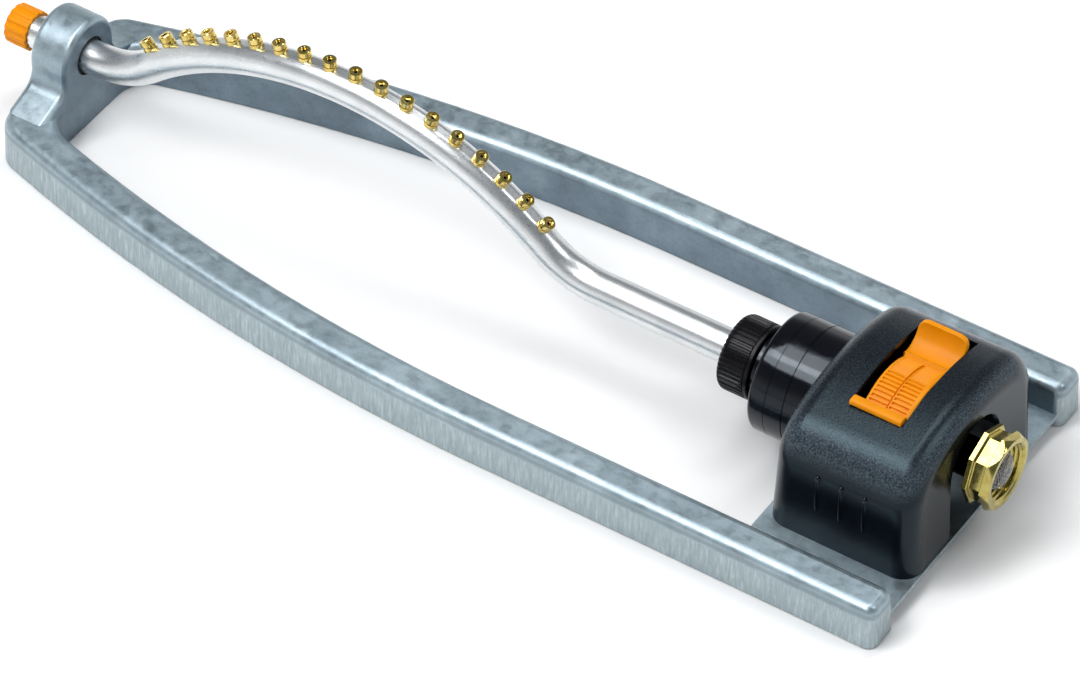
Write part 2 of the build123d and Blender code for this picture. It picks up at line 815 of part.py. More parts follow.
def make_inlet_fitting():
    start_x = casing_back_x - casing_back_wall
    hex_x = casing_back_x + casing_boss_length
    tail = turned(
        (start_x, tail_bore), (start_x, tail_radius), (flange_x, tail_radius), (flange_x, tail_flange),
        (washer_x, tail_flange), (washer_x, tail_bore),
    )
    nut = Pos(*on_axis(0, 0)) * (RegularPolygon(tail_hex, 6) - Circle(tail_bore))
    return tail + across(nut, hex_x, tail_hex_length)


def make_swivel_coupling():
    """Eight-sided nut: a bevelled front, a narrower waist and a thinner back flange."""
    octagon = Pos(*on_axis(0, 0)) * RegularPolygon(swivel_corner_radius, 8)
    front_x = swivel_front_x - swivel_front_length
    waist_x = swivel_back_x + swivel_back_length
    body = across(octagon, front_x, swivel_front_length) + across(octagon, swivel_back_x, swivel_back_length)
    waist = Pos(*on_axis(0, 0)) * RegularPolygon(swivel_waist, 8)
    body += across(waist, waist_x, front_x - waist_x)
    bevel = turned(
        (swivel_back_x, 0), (swivel_back_x, swivel_corner_radius + 1),
        (swivel_front_x - 2 * swivel_bevel, swivel_corner_radius + 1),
        (swivel_front_x - 2 * swivel_bevel, swivel_corner_radius),
        (swivel_front_x, swivel_corner_radius - swivel_bevel), (swivel_front_x, 0),
    )
    cavity_x = swivel_back_x + swivel_back_wall
    hollow = turned(
        (swivel_back_x - 1, 0), (swivel_back_x - 1, tail_radius + running_fit),
        (cavity_x, tail_radius + running_fit),
        (cavity_x, thread_radius + thread_relief), (thread_x, thread_radius + thread_relief),
        (thread_x, thread_radius), (swivel_front_x + 1, thread_radius), (swivel_front_x + 1, 0),
    )
    return (body & bevel) - hollow


def make_hose_washer():
    return ring(washer_x, strainer_x, thread_radius - clearance / 2, washer_hole)


def make_strainer_screen():
    """Domed screen with a flat rim that lies on the washer."""
    rim_x = strainer_x + strainer_rim
    top_x = rim_x + strainer_height
    dome = (strainer_radius**2 + strainer_height**2) / (2 * strainer_height)
    centre_x = top_x - dome

    def dome_arc(radius, foot_x):
        turn = acos((foot_x - centre_x) / radius)
        points = [(centre_x + radius * cos(t * turn), radius * sin(t * turn)) for t in (1.0, 0.5, 0.0)]
        return ThreePointArc(*points)

    outer = dome_arc(dome, rim_x)
    inner = dome_arc(dome - strainer_thickness, strainer_x)
    rim = thread_radius - clearance / 2
    edge = Polyline(inner @ 0, (strainer_x, rim), (rim_x, rim), outer @ 0)
    tip = Line(outer @ 1, inner @ 1)
    profile = make_face(Plane.XZ * Wire(edge.edges() + [outer.edge(), inner.edge(), tip.edge()]))
    return Pos(0, 0, axis_height) * revolve(profile, Axis.X)


# Export

def write(name, shape):
    """Moves a piece so that the origin is under the middle of the overall length, and writes it."""
    pieces = shape if isinstance(shape, list) else [shape]
    moved = [Pos(-middle_x, 0, 0) * piece for piece in pieces]
    export_step(Compound(children=moved) if len(moved) > 1 else moved[0], f"parts/{name}.step")


os.makedirs("parts", exist_ok=True)
write("base_frame", make_base_frame())
write("pivot_bush", make_pivot_bush())
write("spray_tube", make_spray_tube())
write("nozzles", make_nozzles())
write("end_cap", make_end_cap())
write("end_cap_seal", make_end_cap_seal())
write("tube_nut", make_tube_nut())
write("tube_seal", make_tube_seal())
write("output_shaft", make_output_shaft())
write("shaft_seal", make_shaft_seal())
write("casing_cap", make_casing_cap())
write("drive_casing", make_drive_casing())
write("output_gear", make_output_gear())
write("second_reduction_gear", make_second_reduction_gear())
write("first_reduction_gear", make_first_reduction_gear())
write("gear_axles", make_gear_axles())
write("gear_plate", make_gear_plate())
write("turbine_wheel", make_turbine_wheel())
write("turbine_axle", make_turbine_axle())
write("jet_plate", make_jet_plate())
write("reversing_lever", make_reversing_lever())
write("motor_cover", make_motor_cover())
write("control_lever", make_control_lever())
write("cover_screws", screws(cover_screw_spots(), screw_length))
write("casing_screws", screws(casing_screw_spots(), casing_screw_length))
write("inlet_fitting", make_inlet_fitting())
write("swivel_coupling", make_swivel_coupling())
write("hose_washer", make_hose_washer())
write("strainer_screen", make_strainer_screen())
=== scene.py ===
import math
import bmesh
import bpy
from mathutils import Matrix, Vector
from mathutils.geometry import tessellate_polygon


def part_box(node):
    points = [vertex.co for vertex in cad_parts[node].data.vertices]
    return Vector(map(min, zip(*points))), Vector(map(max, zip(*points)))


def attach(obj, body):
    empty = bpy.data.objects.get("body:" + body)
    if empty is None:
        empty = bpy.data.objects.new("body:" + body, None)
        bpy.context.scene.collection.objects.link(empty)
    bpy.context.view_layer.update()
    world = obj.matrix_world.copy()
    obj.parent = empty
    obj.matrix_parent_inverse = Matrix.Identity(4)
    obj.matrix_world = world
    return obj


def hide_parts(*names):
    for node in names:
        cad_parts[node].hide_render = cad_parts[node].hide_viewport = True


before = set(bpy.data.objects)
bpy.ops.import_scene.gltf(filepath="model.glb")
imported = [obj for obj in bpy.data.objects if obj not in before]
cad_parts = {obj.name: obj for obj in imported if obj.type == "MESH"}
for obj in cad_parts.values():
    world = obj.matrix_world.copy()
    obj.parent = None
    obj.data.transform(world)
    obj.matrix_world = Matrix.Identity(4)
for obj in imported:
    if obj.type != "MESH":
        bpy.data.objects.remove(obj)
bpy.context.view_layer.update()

# Cast frame
# One pressure casting in zinc-aluminium: two bowed channel rails, the end wall with the tube's bracket, and the
# drive plate. It is tumbled after casting, and the rails' outer sides are linished on a belt.

mm = 0.001
belt_top = 16.4
edge_top = 19.0


def finish(name, color, metallic=0.0, roughness=0.5, specular=0.5):
    """A new material with its plain values on the shader, and its tree and shader to add detail to."""
    made = bpy.data.materials.new(name)
    made.use_nodes = True
    tree = made.node_tree
    shader = tree.nodes["Principled BSDF"]
    shader.inputs["Base Color"].default_value = (*color, 1.0)
    shader.inputs["Metallic"].default_value = metallic
    shader.inputs["Roughness"].default_value = roughness
    shader.inputs["Specular IOR Level"].default_value = specular
    return made, tree, shader


def add(tree, kind, wires=None, **settings):
    """Adds a node, sets it up, and fills its sockets with values or with other nodes' outputs."""
    made = tree.nodes.new("ShaderNode" + kind)
    for key, value in settings.items():
        setattr(made, key, value)
    for socket, value in (wires or {}).items():
        if isinstance(value, bpy.types.NodeSocket):
            tree.links.new(value, made.inputs[socket])
        else:
            made.inputs[socket].default_value = value
    return made


def places(tree, stretch=(1, 1, 1), turn=(0, 0, 0)):
    """Object coordinates in millimetres, stretched and turned."""
    coords = add(tree, "TexCoord").outputs["Object"]
    scale = tuple(1000 * s for s in stretch)
    return add(tree, "Mapping", {"Vector": coords, "Scale": scale, "Rotation": turn}).outputs["Vector"]


def grain(tree, vector, size, detail=3.0, rough=0.55):
    """Noise whose blotches are about size millimetres across."""
    noise = add(tree, "TexNoise", {"Vector": vector, "Scale": 1 / size, "Detail": detail, "Roughness": rough})
    return noise.outputs["Fac"]


def ramp(tree, fac, *stops):
    """A colour ramp from (place, colour or grey) stops."""
    made = add(tree, "ValToRGB", {"Fac": fac})
    keys = made.color_ramp.elements
    while len(keys) < len(stops):
        keys.new(0.5)
    for key, (place, tone) in zip(keys, stops):
        key.position = place
        key.color = (*tone, 1.0) if isinstance(tone, tuple) else (tone, tone, tone, 1.0)
    return made.outputs["Color"]


def reach(tree, value, low, high, to_low, to_high):
    """Carries a value from one range to another, clamped."""
    made = add(tree, "MapRange", {
        "Value": value, "From Min": low, "From Max": high, "To Min": to_low, "To Max": to_high,
    })
    return made.outputs["Result"]


def sums(tree, kind, a, b):
    """One step of arithmetic on two values."""
    return add(tree, "Math", {0: a, 1: b}, operation=kind).outputs["Value"]


def blend(tree, fac, a, b, kind="MIX"):
    """Mixes two colours, which may be outputs of other nodes."""
    made = add(tree, "Mix", data_type="RGBA", blend_type=kind)
    colours = [s for s in made.inputs if s.type == "RGBA"]
    for socket, value in ((made.inputs[0], fac), (colours[0], a), (colours[1], b)):
        if isinstance(value, bpy.types.NodeSocket):
            tree.links.new(value, socket)
        else:
            socket.default_value = (*value, 1.0) if isinstance(value, tuple) else value
    return [s for s in made.outputs if s.type == "RGBA"][0]


def bumps(tree, shader, height, distance, strength=1.0):
    """Bump of a given depth in millimetres."""
    made = add(tree, "Bump", {"Height": height, "Distance": distance * mm, "Strength": strength})
    tree.links.new(made.outputs["Normal"], shader.inputs["Normal"])


def facing(tree):
    """The surface's own direction in the piece's coordinates, as X, Y and Z."""
    return add(tree, "SeparateXYZ", {0: add(tree, "TexCoord").outputs["Normal"]}).outputs


def dress(node, material):
    """Gives a carried-over solid its finish."""
    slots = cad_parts[node].data.materials
    slots.clear()
    slots.append(material)


def cast_metal():
    """Tumbled skin all over, with painted shade on the frame's inner walls and along the rails' outer round-over, and
    belt marks on the rails' outer sides.
    """
    material, tree, shader = finish("cast_metal", (0.46, 0.52, 0.55), metallic=0.85, roughness=0.42)
    around = places(tree)
    blotch = grain(tree, around, 24, 4)
    mottle = grain(tree, around, 5, 4, 0.6)
    pores = grain(tree, around, 1.1, 3)
    skin = ramp(tree, blotch, (0.3, (0.29, 0.365, 0.41)), (0.55, (0.375, 0.465, 0.515)), (0.75, (0.48, 0.58, 0.63)))
    shade = ramp(tree, mottle, (0.3, 0.82), (0.52, 1.0), (0.75, 1.08))
    speck = ramp(tree, pores, (0.28, 0.86), (0.45, 1.0), (0.7, 1.03))
    tumbled = blend(tree, 1.0, blend(tree, 1.0, skin, shade, "MULTIPLY"), speck, "MULTIPLY")

    spot = add(tree, "TexCoord").outputs
    outward = add(tree, "VectorMath", {0: spot["Normal"], 1: spot["Object"]}, operation="DOT_PRODUCT").outputs["Value"]
    upright = reach(tree, sums(tree, "ABSOLUTE", facing(tree)["Z"], 0.0), 0.25, 0.5, 1.0, 0.0)
    height = add(tree, "SeparateXYZ", {0: around}).outputs["Z"]
    below_top = reach(tree, height, belt_top - 1.6, belt_top, 1.0, 0.0)
    outside = reach(tree, outward, 0.02, 0.04, 0.0, 1.0)
    belt = sums(tree, "MULTIPLY", sums(tree, "MULTIPLY", outside, upright), below_top)
    # The frame's inner walls, facing into the channel, are darkened here as painted shade.
    inside = sums(tree, "MULTIPLY", reach(tree, outward, -0.03, -0.005, 1.0, 0.0), upright)
    slanted = places(tree, (0.8, 0.8, 0.09), (0, math.radians(24), 0))
    streak = grain(tree, slanted, 1.0, 5, 0.7)
    sanded = ramp(tree, streak, (0.33, (0.31, 0.375, 0.4)), (0.52, (0.38, 0.45, 0.475)), (0.74, (0.56, 0.64, 0.66)))
    # A darker band along the rails' outer round-over, just above the belt marks, is painted shade.
    rounded_edge = sums(tree, "MULTIPLY", reach(tree, height, belt_top - 0.6, belt_top + 0.4, 0.0, 1.0),
                        reach(tree, height, edge_top - 0.8, edge_top, 1.0, 0.0))
    edge_shade_mask = sums(tree, "MULTIPLY", sums(tree, "MULTIPLY", rounded_edge, outside), 0.5)
    inner_shade_tone = blend(tree, 1.0, tumbled, (0.52, 0.55, 0.59), "MULTIPLY")
    edge_shaded_tone = blend(tree, edge_shade_mask, tumbled, (0.2, 0.23, 0.24))
    tone = blend(tree, belt, blend(tree, inside, edge_shaded_tone, inner_shade_tone), sanded)
    tree.links.new(tone, shader.inputs["Base Color"])
    tree.links.new(reach(tree, mottle, 0.3, 0.7, 0.34, 0.52), shader.inputs["Roughness"])
    relief = sums(tree, "ADD", sums(tree, "MULTIPLY", pores, 0.25), sums(tree, "MULTIPLY", streak, belt))
    bumps(tree, shader, sums(tree, "ADD", relief, sums(tree, "MULTIPLY", mottle, 1.2)), 0.09)
    return material


dress("base_frame", cast_metal())

# Pivot bush
# A turned black acetal bush pressed into the bracket's boss. The tube turns in it, so its bore is polished by wear.


def bush_plastic():
    material, tree, shader = finish("bush_plastic", (0.004, 0.004, 0.005), roughness=0.45, specular=0.12)
    rings = grain(tree, places(tree, (8, 0.3, 0.3)), 1.0)
    tree.links.new(reach(tree, rings, 0.3, 0.7, 0.35, 0.6), shader.inputs["Roughness"])
    bumps(tree, shader, rings, 0.03)
    return material


dress("pivot_bush", bush_plastic())

# Spray tube
# Drawn aluminium tube, bent cold round three formers. A shallow land is pressed along the top of the arch for the
# jets, and the straight ends run in the bush and in the union nut.

axis_z = 38.0
tube_radius = 7.95
tube_wall = 1.2
tube_back, tube_front = (corner.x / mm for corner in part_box("spray_tube"))
arch_middle = -78.5
arch_radius = 157.0
arch_bend = 45.0
arch_rise = 51.0
arch_turn = math.acos(1 - arch_rise / (arch_radius + arch_bend))
arch_centre = axis_z + arch_rise - arch_radius
land_height = 7.6
land_fade = math.radians(4.0)


def piece(name, points, faces, body, replaced=(), sharp=35):
    """A mesh piece from points in millimetres, smooth up to the sharp angle, riding on a body."""
    mesh = bpy.data.meshes.new(name)
    mesh.from_pydata([(x * mm, y * mm, z * mm) for x, y, z in points], [], faces)
    shape = bmesh.new()
    shape.from_mesh(mesh)
    bmesh.ops.remove_doubles(shape, verts=shape.verts, dist=1e-7)
    bmesh.ops.recalc_face_normals(shape, faces=shape.faces)
    shape.to_mesh(mesh)
    shape.free()
    mesh.shade_smooth()
    mesh.set_sharp_from_angle(angle=math.radians(sharp))
    made = bpy.data.objects.new(name, mesh)
    bpy.context.scene.collection.objects.link(made)
    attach(made, body)
    if replaced:
        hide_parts(*replaced)
    return made


def rings_to_faces(count, sides, closed=False, base=0):
    """Quads between rings of points from number base on, the last ring joined to the first if closed."""
    faces = []
    for i in range(count if closed else count - 1):
        here = base + i * sides
        ahead = base + ((i + 1) % count) * sides
        for j in range(sides):
            k = (j + 1) % sides
            faces.append((here + j, here + k, ahead + k, ahead + j))
    return faces


def end_faces(count, sides, base=0):
    """The two faces that close a row of rings."""
    last = base + (count - 1) * sides
    return [tuple(range(base, base + sides)), tuple(range(last, last + sides))]


def bend_walk():
    """Points along the tube's line as (x, z, heading, whether on the arch)."""
    line = []
    half = (arch_radius + arch_bend) * math.sin(arch_turn)
    start = arch_middle - half
    end = arch_middle + half
    for i in range(8):
        line.append((tube_back + (start - tube_back) * i / 8, axis_z, 0.0, False))
    for i in range(24):
        turn = arch_turn * i / 24
        line.append((start + arch_bend * math.sin(turn), axis_z + arch_bend * (1 - math.cos(turn)), turn, False))
    for i in range(121):
        turn = arch_turn * (1 - 2 * i / 120)
        x = arch_middle - arch_radius * math.sin(turn)
        line.append((x, arch_centre + arch_radius * math.cos(turn), turn, True))
    for i in range(1, 24):
        turn = arch_turn * (1 - i / 24)
        line.append((end - arch_bend * math.sin(turn), axis_z + arch_bend * (1 - math.cos(turn)), -turn, False))
    for i in range(25):
        line.append((end + (tube_front - end) * i / 24, axis_z, 0.0, False))
    return line


def tube_ring(x, z, heading, radius, land, sides):
    ring = []
    for j in range(sides):
        angle = 2 * math.pi * j / sides
        up = min(radius * math.cos(angle), land)
        ring.append((x - up * math.sin(heading), radius * math.sin(angle), z + up * math.cos(heading)))
    return ring


def make_spray_tube():
    sides = 72
    line = bend_walk()
    outer = []
    for x, z, heading, on_arch in line:
        past = max(0.0, abs(heading) - (arch_turn - land_fade)) / land_fade
        land = land_height + (tube_radius - land_height) * past if on_arch else tube_radius
        outer += tube_ring(x, z, heading, tube_radius, land, sides)
    inner = []
    for x, z, heading, _ in reversed(line):
        inner += tube_ring(x, z, heading, tube_radius - tube_wall, tube_radius, sides)
    faces = rings_to_faces(2 * len(line), sides, closed=True)
    return piece("bent_spray_tube", outer + inner, faces, "spray_arm", ["spray_tube"], 40)


def drawn_aluminium():
    """Bright tube with fine draw lines, handling haze and a few rubbed marks from the formers."""
    material, tree, shader = finish("drawn_aluminium", (0.8, 0.82, 0.83), metallic=1.0, roughness=0.3)
    lines = grain(tree, places(tree, (0.02, 1.6, 1.6)), 1.0, 3, 0.6)
    haze = grain(tree, places(tree), 13, 4)
    tone = ramp(tree, haze, (0.3, (0.72, 0.745, 0.755)), (0.7, (0.84, 0.855, 0.86)))
    tree.links.new(tone, shader.inputs["Base Color"])
    tree.links.new(reach(tree, lines, 0.3, 0.7, 0.26, 0.34), shader.inputs["Roughness"])
    bumps(tree, shader, lines, 0.004)
    return material


spray_tube = make_spray_tube()
spray_tube.data.materials.append(drawn_aluminium())

# Jets
# Eighteen turned brass jets, pressed into drilled holes along the land. Each has a foot ring, a narrow groove and a
# chamfered head with a fine hole.

jet_count = 18
jet_pitch = math.radians(4.63)
jet_profile = [
    (3.0, 7.4), (3.2, 7.6), (3.2, 9.0), (3.1, 9.2), (2.75, 9.25), (2.75, 9.6), (3.05, 9.65), (3.15, 9.8), (3.15, 12.2),
    (2.9, 12.5), (1.75, 12.5), (1.6, 12.35), (1.6, 11.7), (0.75, 11.6), (0.7, 11.5), (0.7, 8.0), (0.7, 7.4),
]
bore_start = 13


def turned_brass(name, dark, mid, light):
    """Turned and polished brass with fine tool rings and a little tarnish."""
    material, tree, shader = finish(name, mid, metallic=1.0, roughness=0.15)
    stain = grain(tree, places(tree), 3.5, 4)
    tree.links.new(ramp(tree, stain, (0.28, dark), (0.5, mid), (0.75, light)), shader.inputs["Base Color"])
    tree.links.new(reach(tree, stain, 0.3, 0.7, 0.07, 0.17), shader.inputs["Roughness"])
    bumps(tree, shader, grain(tree, places(tree, (6, 0.4, 0.4)), 1.0, 2), 0.002)
    return material


def make_jets():
    sides = 28
    points = []
    faces = []
    for k in range(jet_count):
        lean = (k - (jet_count - 1) / 2) * jet_pitch
        x = arch_middle + arch_radius * math.sin(lean)
        place = Matrix.Translation((x, 0, arch_centre + arch_radius * math.cos(lean))) @ Matrix.Rotation(lean, 4, "Y")
        base = len(points)
        for r, h in jet_profile:
            for j in range(sides):
                angle = 2 * math.pi * j / sides
                points.append(tuple(place @ Vector((r * math.cos(angle), r * math.sin(angle), h))))
        faces += rings_to_faces(len(jet_profile), sides, closed=True, base=base)
    made = piece("brass_jets", points, faces, "spray_arm", ["nozzles"], 30)
    for i, face in enumerate(made.data.polygons):
        face.material_index = int((i // sides) % len(jet_profile) >= bore_start)
    return made


def shaded_bore():
    """The inside of a jet's hole, painted near-black as shade, with a faint random mottle."""
    material, tree, shader = finish("shaded_bore", (0.02, 0.015, 0.006), metallic=0.3, roughness=0.6, specular=0.2)
    scale = grain(tree, places(tree), 0.5, 3)
    tone = ramp(tree, scale, (0.35, (0.012, 0.009, 0.004)), (0.7, (0.04, 0.03, 0.012)))
    tree.links.new(tone, shader.inputs["Base Color"])
    return material


jets = make_jets()
jets.data.materials.append(turned_brass("jet_brass", (0.6, 0.43, 0.1), (0.76, 0.58, 0.18), (0.84, 0.68, 0.27)))
# The faces inside each jet's hole take the near-black bore colour, which is painted shade.
jets.data.materials.append(shaded_bore())

# Clean-out plug and its seal
# Moulded orange cap with broad grip flutes. It pushes over the tube's far end onto a rubber ring, and comes off to
# flush the tube.

plug_back, plug_front = (corner.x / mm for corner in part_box("end_cap"))
plug_radius = 9.6
plug_bore = 8.0
plug_wall = 3.0
plug_flute_count = 14
flute_depth = 0.6


def axis_ring(x, sides, radius):
    """A ring of points about the tube's axis, from a function that gives the radius at each angle."""
    ring = []
    for j in range(sides):
        angle = 2 * math.pi * j / sides
        r = radius(angle)
        ring.append((x, r * math.cos(angle), axis_z + r * math.sin(angle)))
    return ring


def turned_piece(name, profile, sides, body, replaced=(), sharp=35, swell=None):
    """A closed piece of revolution about the tube's axis from (x, radius) points; swell shapes the radius."""
    points = []
    for x, radius in profile:
        points += axis_ring(x, sides, lambda angle: radius + (swell(x, radius, angle) if swell else 0.0))
    faces = rings_to_faces(len(profile), sides, closed=True)
    return piece(name, points, faces, body, replaced, sharp)


def rounded(corners, steps=5):
    """A profile from (x, radius, round) corners, with each corner rounded by an arc of that radius."""
    profile = []
    count = len(corners)
    for i, (x, y, r) in enumerate(corners):
        here = Vector((x, y))
        back = (Vector(corners[i - 1][:2]) - here).normalized()
        on = (Vector(corners[(i + 1) % count][:2]) - here).normalized()
        if r == 0:
            profile.append((x, y))
            continue
        half = math.acos(max(-1.0, min(1.0, back.dot(on)))) / 2
        cut = r / math.tan(half)
        middle = here + (back + on).normalized() * (r / math.sin(half))
        first = here + back * cut - middle
        last = here + on * cut - middle
        swing = math.atan2(first.x * last.y - first.y * last.x, first.dot(last))
        for k in range(steps + 1):
            profile.append(tuple(middle + Matrix.Rotation(swing * k / steps, 2) @ first))
    return profile


def orange_plastic():
    """Satin moulding in strong yellow-orange, a little uneven in colour, with a fine mould texture."""
    material, tree, shader = finish("orange_plastic", (0.79, 0.27, 0.003), roughness=0.38, specular=0.14)
    around = places(tree)
    cloud = ramp(tree, grain(tree, around, 9, 3), (0.3, (0.76, 0.25, 0.002)), (0.7, (0.82, 0.29, 0.004)))
    tree.links.new(cloud, shader.inputs["Base Color"])
    fine = grain(tree, around, 0.35, 2)
    tree.links.new(reach(tree, fine, 0.3, 0.7, 0.3, 0.44), shader.inputs["Roughness"])
    bumps(tree, shader, fine, 0.012)
    return material


def plug_flutes(x, radius, angle):
    if radius < plug_radius - 1.2:
        return 0.0
    wave = math.cos(plug_flute_count * angle)
    return -flute_depth * max(0.0, min(1.0, 0.2 - 1.8 * wave))


def make_plug():
    profile = rounded([
        (plug_back, 0.3, 0), (plug_back, 4.2, 0), (plug_back + 0.5, 5.0, 0.2), (plug_back, 5.8, 0.2),
        (plug_back, plug_radius, 1.6), (plug_front, plug_radius, 0.6), (plug_front, plug_bore, 0.3),
        (plug_back + plug_wall, plug_bore, 0), (plug_back + plug_wall, 0.3, 0),
    ])
    return turned_piece("clean_out_plug", profile, 168, "spray_arm", ["end_cap"], 32, plug_flutes)


def seal_rubber():
    material, tree, shader = finish("seal_rubber", (0.02, 0.02, 0.02), roughness=0.75, specular=0.3)
    dust = grain(tree, places(tree), 1.1, 3)
    tree.links.new(ramp(tree, dust, (0.35, 0.014), (0.7, 0.035)), shader.inputs["Base Color"])
    bumps(tree, shader, dust, 0.03)
    return material


orange = orange_plastic()
rubber = seal_rubber()
plug = make_plug()
plug.data.materials.append(orange)
dress("end_cap_seal", rubber)

# Union nut, its seal and the output shaft
# The nut is moulded in black with fine grip ribs and a plain rim. It screws onto the hollow shaft's socket and
# squeezes a rubber ring against the tube; the shaft's collar shows behind it.

nut_back, nut_front = (corner.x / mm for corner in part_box("tube_nut"))
nut_radius = 17.5
nut_ribs = 44
nut_rim = 2.4
nut_wall = 3.0
nut_hole = 8.5
nut_bore = 11.4
rib_depth = 0.62
groove_depth = 0.45


def rib_wave(x, radius, angle):
    if radius < nut_radius - 2.3 or x > nut_front - nut_rim:
        return 0.0
    wave = math.cos(nut_ribs * angle)
    fade = min(1.0, (nut_front - nut_rim - x) / 0.6)
    return -rib_depth * fade * max(0.0, min(1.0, 0.5 - 1.1 * wave))


def make_union_nut():
    """The ribbed grip ends in a thin groove before the plain rim."""
    end = nut_front - nut_rim
    profile = rounded([
        (nut_back, nut_hole, 0.3), (nut_back, nut_radius, 3.0), (nut_front, nut_radius, 0.7),
        (nut_front, nut_bore, 0.2), (nut_back + nut_wall, nut_bore, 0), (nut_back + nut_wall, nut_hole, 0),
    ])
    split = []
    for i, (x, r) in enumerate(profile):
        split.append((x, r))
        ahead = profile[(i + 1) % len(profile)]
        if abs(r - nut_radius) < 0.01 and ahead[0] - x > 5:
            split += [(x + (end - 0.6 - x) * k / 5, r) for k in range(1, 6)]
            split += [(end, r), (end + 0.05, r - groove_depth), (end + 0.5, r - groove_depth), (end + 0.55, r)]
    return turned_piece("union_nut", split, 528, "spray_arm", ["tube_nut"], 30, rib_wave)


def grip_plastic():
    material, tree, shader = finish("grip_plastic", (0.003, 0.003, 0.0045), roughness=0.3, specular=0.17)
    fine = grain(tree, places(tree), 0.4, 3)
    tree.links.new(reach(tree, fine, 0.3, 0.7, 0.22, 0.38), shader.inputs["Roughness"])
    bumps(tree, shader, fine, 0.02)
    return material


def gloss_black():
    """Polished black moulding with faint rub marks and a slight unevenness of the wall."""
    material, tree, shader = finish("gloss_black", (0.002, 0.002, 0.0035), roughness=0.1, specular=0.36)
    shader.inputs["Specular Tint"].default_value = (0.8, 0.9, 1.0, 1.0)
    rub = grain(tree, places(tree, (0.4, 1, 1)), 2.2, 4)
    tree.links.new(reach(tree, rub, 0.3, 0.75, 0.06, 0.18), shader.inputs["Roughness"])
    bumps(tree, shader, grain(tree, places(tree), 9, 2), 0.04)
    return material


union_nut = make_union_nut()
union_nut.data.materials.append(grip_plastic())
gloss = gloss_black()
dress("tube_seal", rubber)
dress("output_shaft", gloss)

# Drive casing
# The gloss black barrel that shows between the nut and the cover: the end cap with the shaft's bearing and seal is
# glued to the casing, and a second seam runs round the barrel. The casing goes on under the cover.

cap_back, cap_front = (corner.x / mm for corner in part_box("casing_cap"))
barrel_radius = 27.5
barrel_inner = 24.5
bearing_radius = 8.06
seal_pocket = 10.1
pocket_depth = 2.4
cap_wall = 3.0


def make_casing_cap():
    profile = rounded([
        (cap_back, seal_pocket, 0), (cap_back, barrel_radius, 2.2), (cap_front - 0.25, barrel_radius, 0),
        (cap_front - 0.1, barrel_radius - 0.35, 0), (cap_front, barrel_radius - 0.4, 0), (cap_front, barrel_inner, 0),
        (cap_back + cap_wall, barrel_inner, 0.5), (cap_back + cap_wall, bearing_radius, 0.2),
        (cap_back + pocket_depth, bearing_radius, 0), (cap_back + pocket_depth, seal_pocket, 0),
    ])
    return turned_piece("barrel_end", profile, 144, "base", ["casing_cap"], 30)


casing_cap = make_casing_cap()
casing_cap.data.materials.append(gloss)
dress("drive_casing", gloss)
dress("shaft_seal", rubber)

# Gear train, turbine and reversing lever
# Moulded acetal gears on steel pins, a paddle wheel driven by one of two jets, and the trip lever that changes the
# jet. They are closed in by the casing.


def moulded_acetal():
    material, tree, shader = finish("moulded_acetal", (0.74, 0.72, 0.66), roughness=0.4)
    cloud = grain(tree, places(tree), 4, 3)
    tree.links.new(ramp(tree, cloud, (0.3, (0.68, 0.66, 0.6)), (0.7, (0.78, 0.76, 0.71))), shader.inputs["Base Color"])
    bumps(tree, shader, grain(tree, places(tree), 0.5), 0.02)
    return material


def moulded_grey():
    material, tree, shader = finish("moulded_grey", (0.12, 0.125, 0.135), roughness=0.5)
    cloud = grain(tree, places(tree), 5, 3)
    tree.links.new(ramp(tree, cloud, (0.3, 0.1), (0.7, 0.15)), shader.inputs["Base Color"])
    bumps(tree, shader, grain(tree, places(tree), 0.6), 0.02)
    return material


def bright_steel():
    material, tree, shader = finish("bright_steel", (0.55, 0.55, 0.56), metallic=1.0, roughness=0.3)
    lines = grain(tree, places(tree, (0.2, 3, 3)), 1.0)
    tree.links.new(reach(tree, lines, 0.3, 0.7, 0.22, 0.4), shader.inputs["Roughness"])
    tree.links.new(ramp(tree, lines, (0.3, 0.45), (0.7, 0.6)), shader.inputs["Base Color"])
    return material


acetal = moulded_acetal()
grey = moulded_grey()
steel = bright_steel()
for node in ("output_gear", "second_reduction_gear", "first_reduction_gear", "turbine_wheel"):
    dress(node, acetal)
for node in ("gear_plate", "jet_plate", "reversing_lever"):
    dress(node, grey)
for node in ("gear_axles", "turbine_axle"):
    dress(node, steel)

# Cover
# Black injection-moulded cover with a spark-eroded grain on its crown and smooth drafted walls. It stands on the
# drive plate, is held by four screws from below, and has three small pips with faint ribs on its near wall.

cover_back, cover_front = (corner.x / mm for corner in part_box("motor_cover"))
cover_side = 52.5
cover_foot = 7.0
cover_draft = math.tan(math.radians(2.0))
pip_pitch = 11.5
pip_height = 43.5
pip_radius = 1.5
rib_low = 25.0
rib_half = 1.1


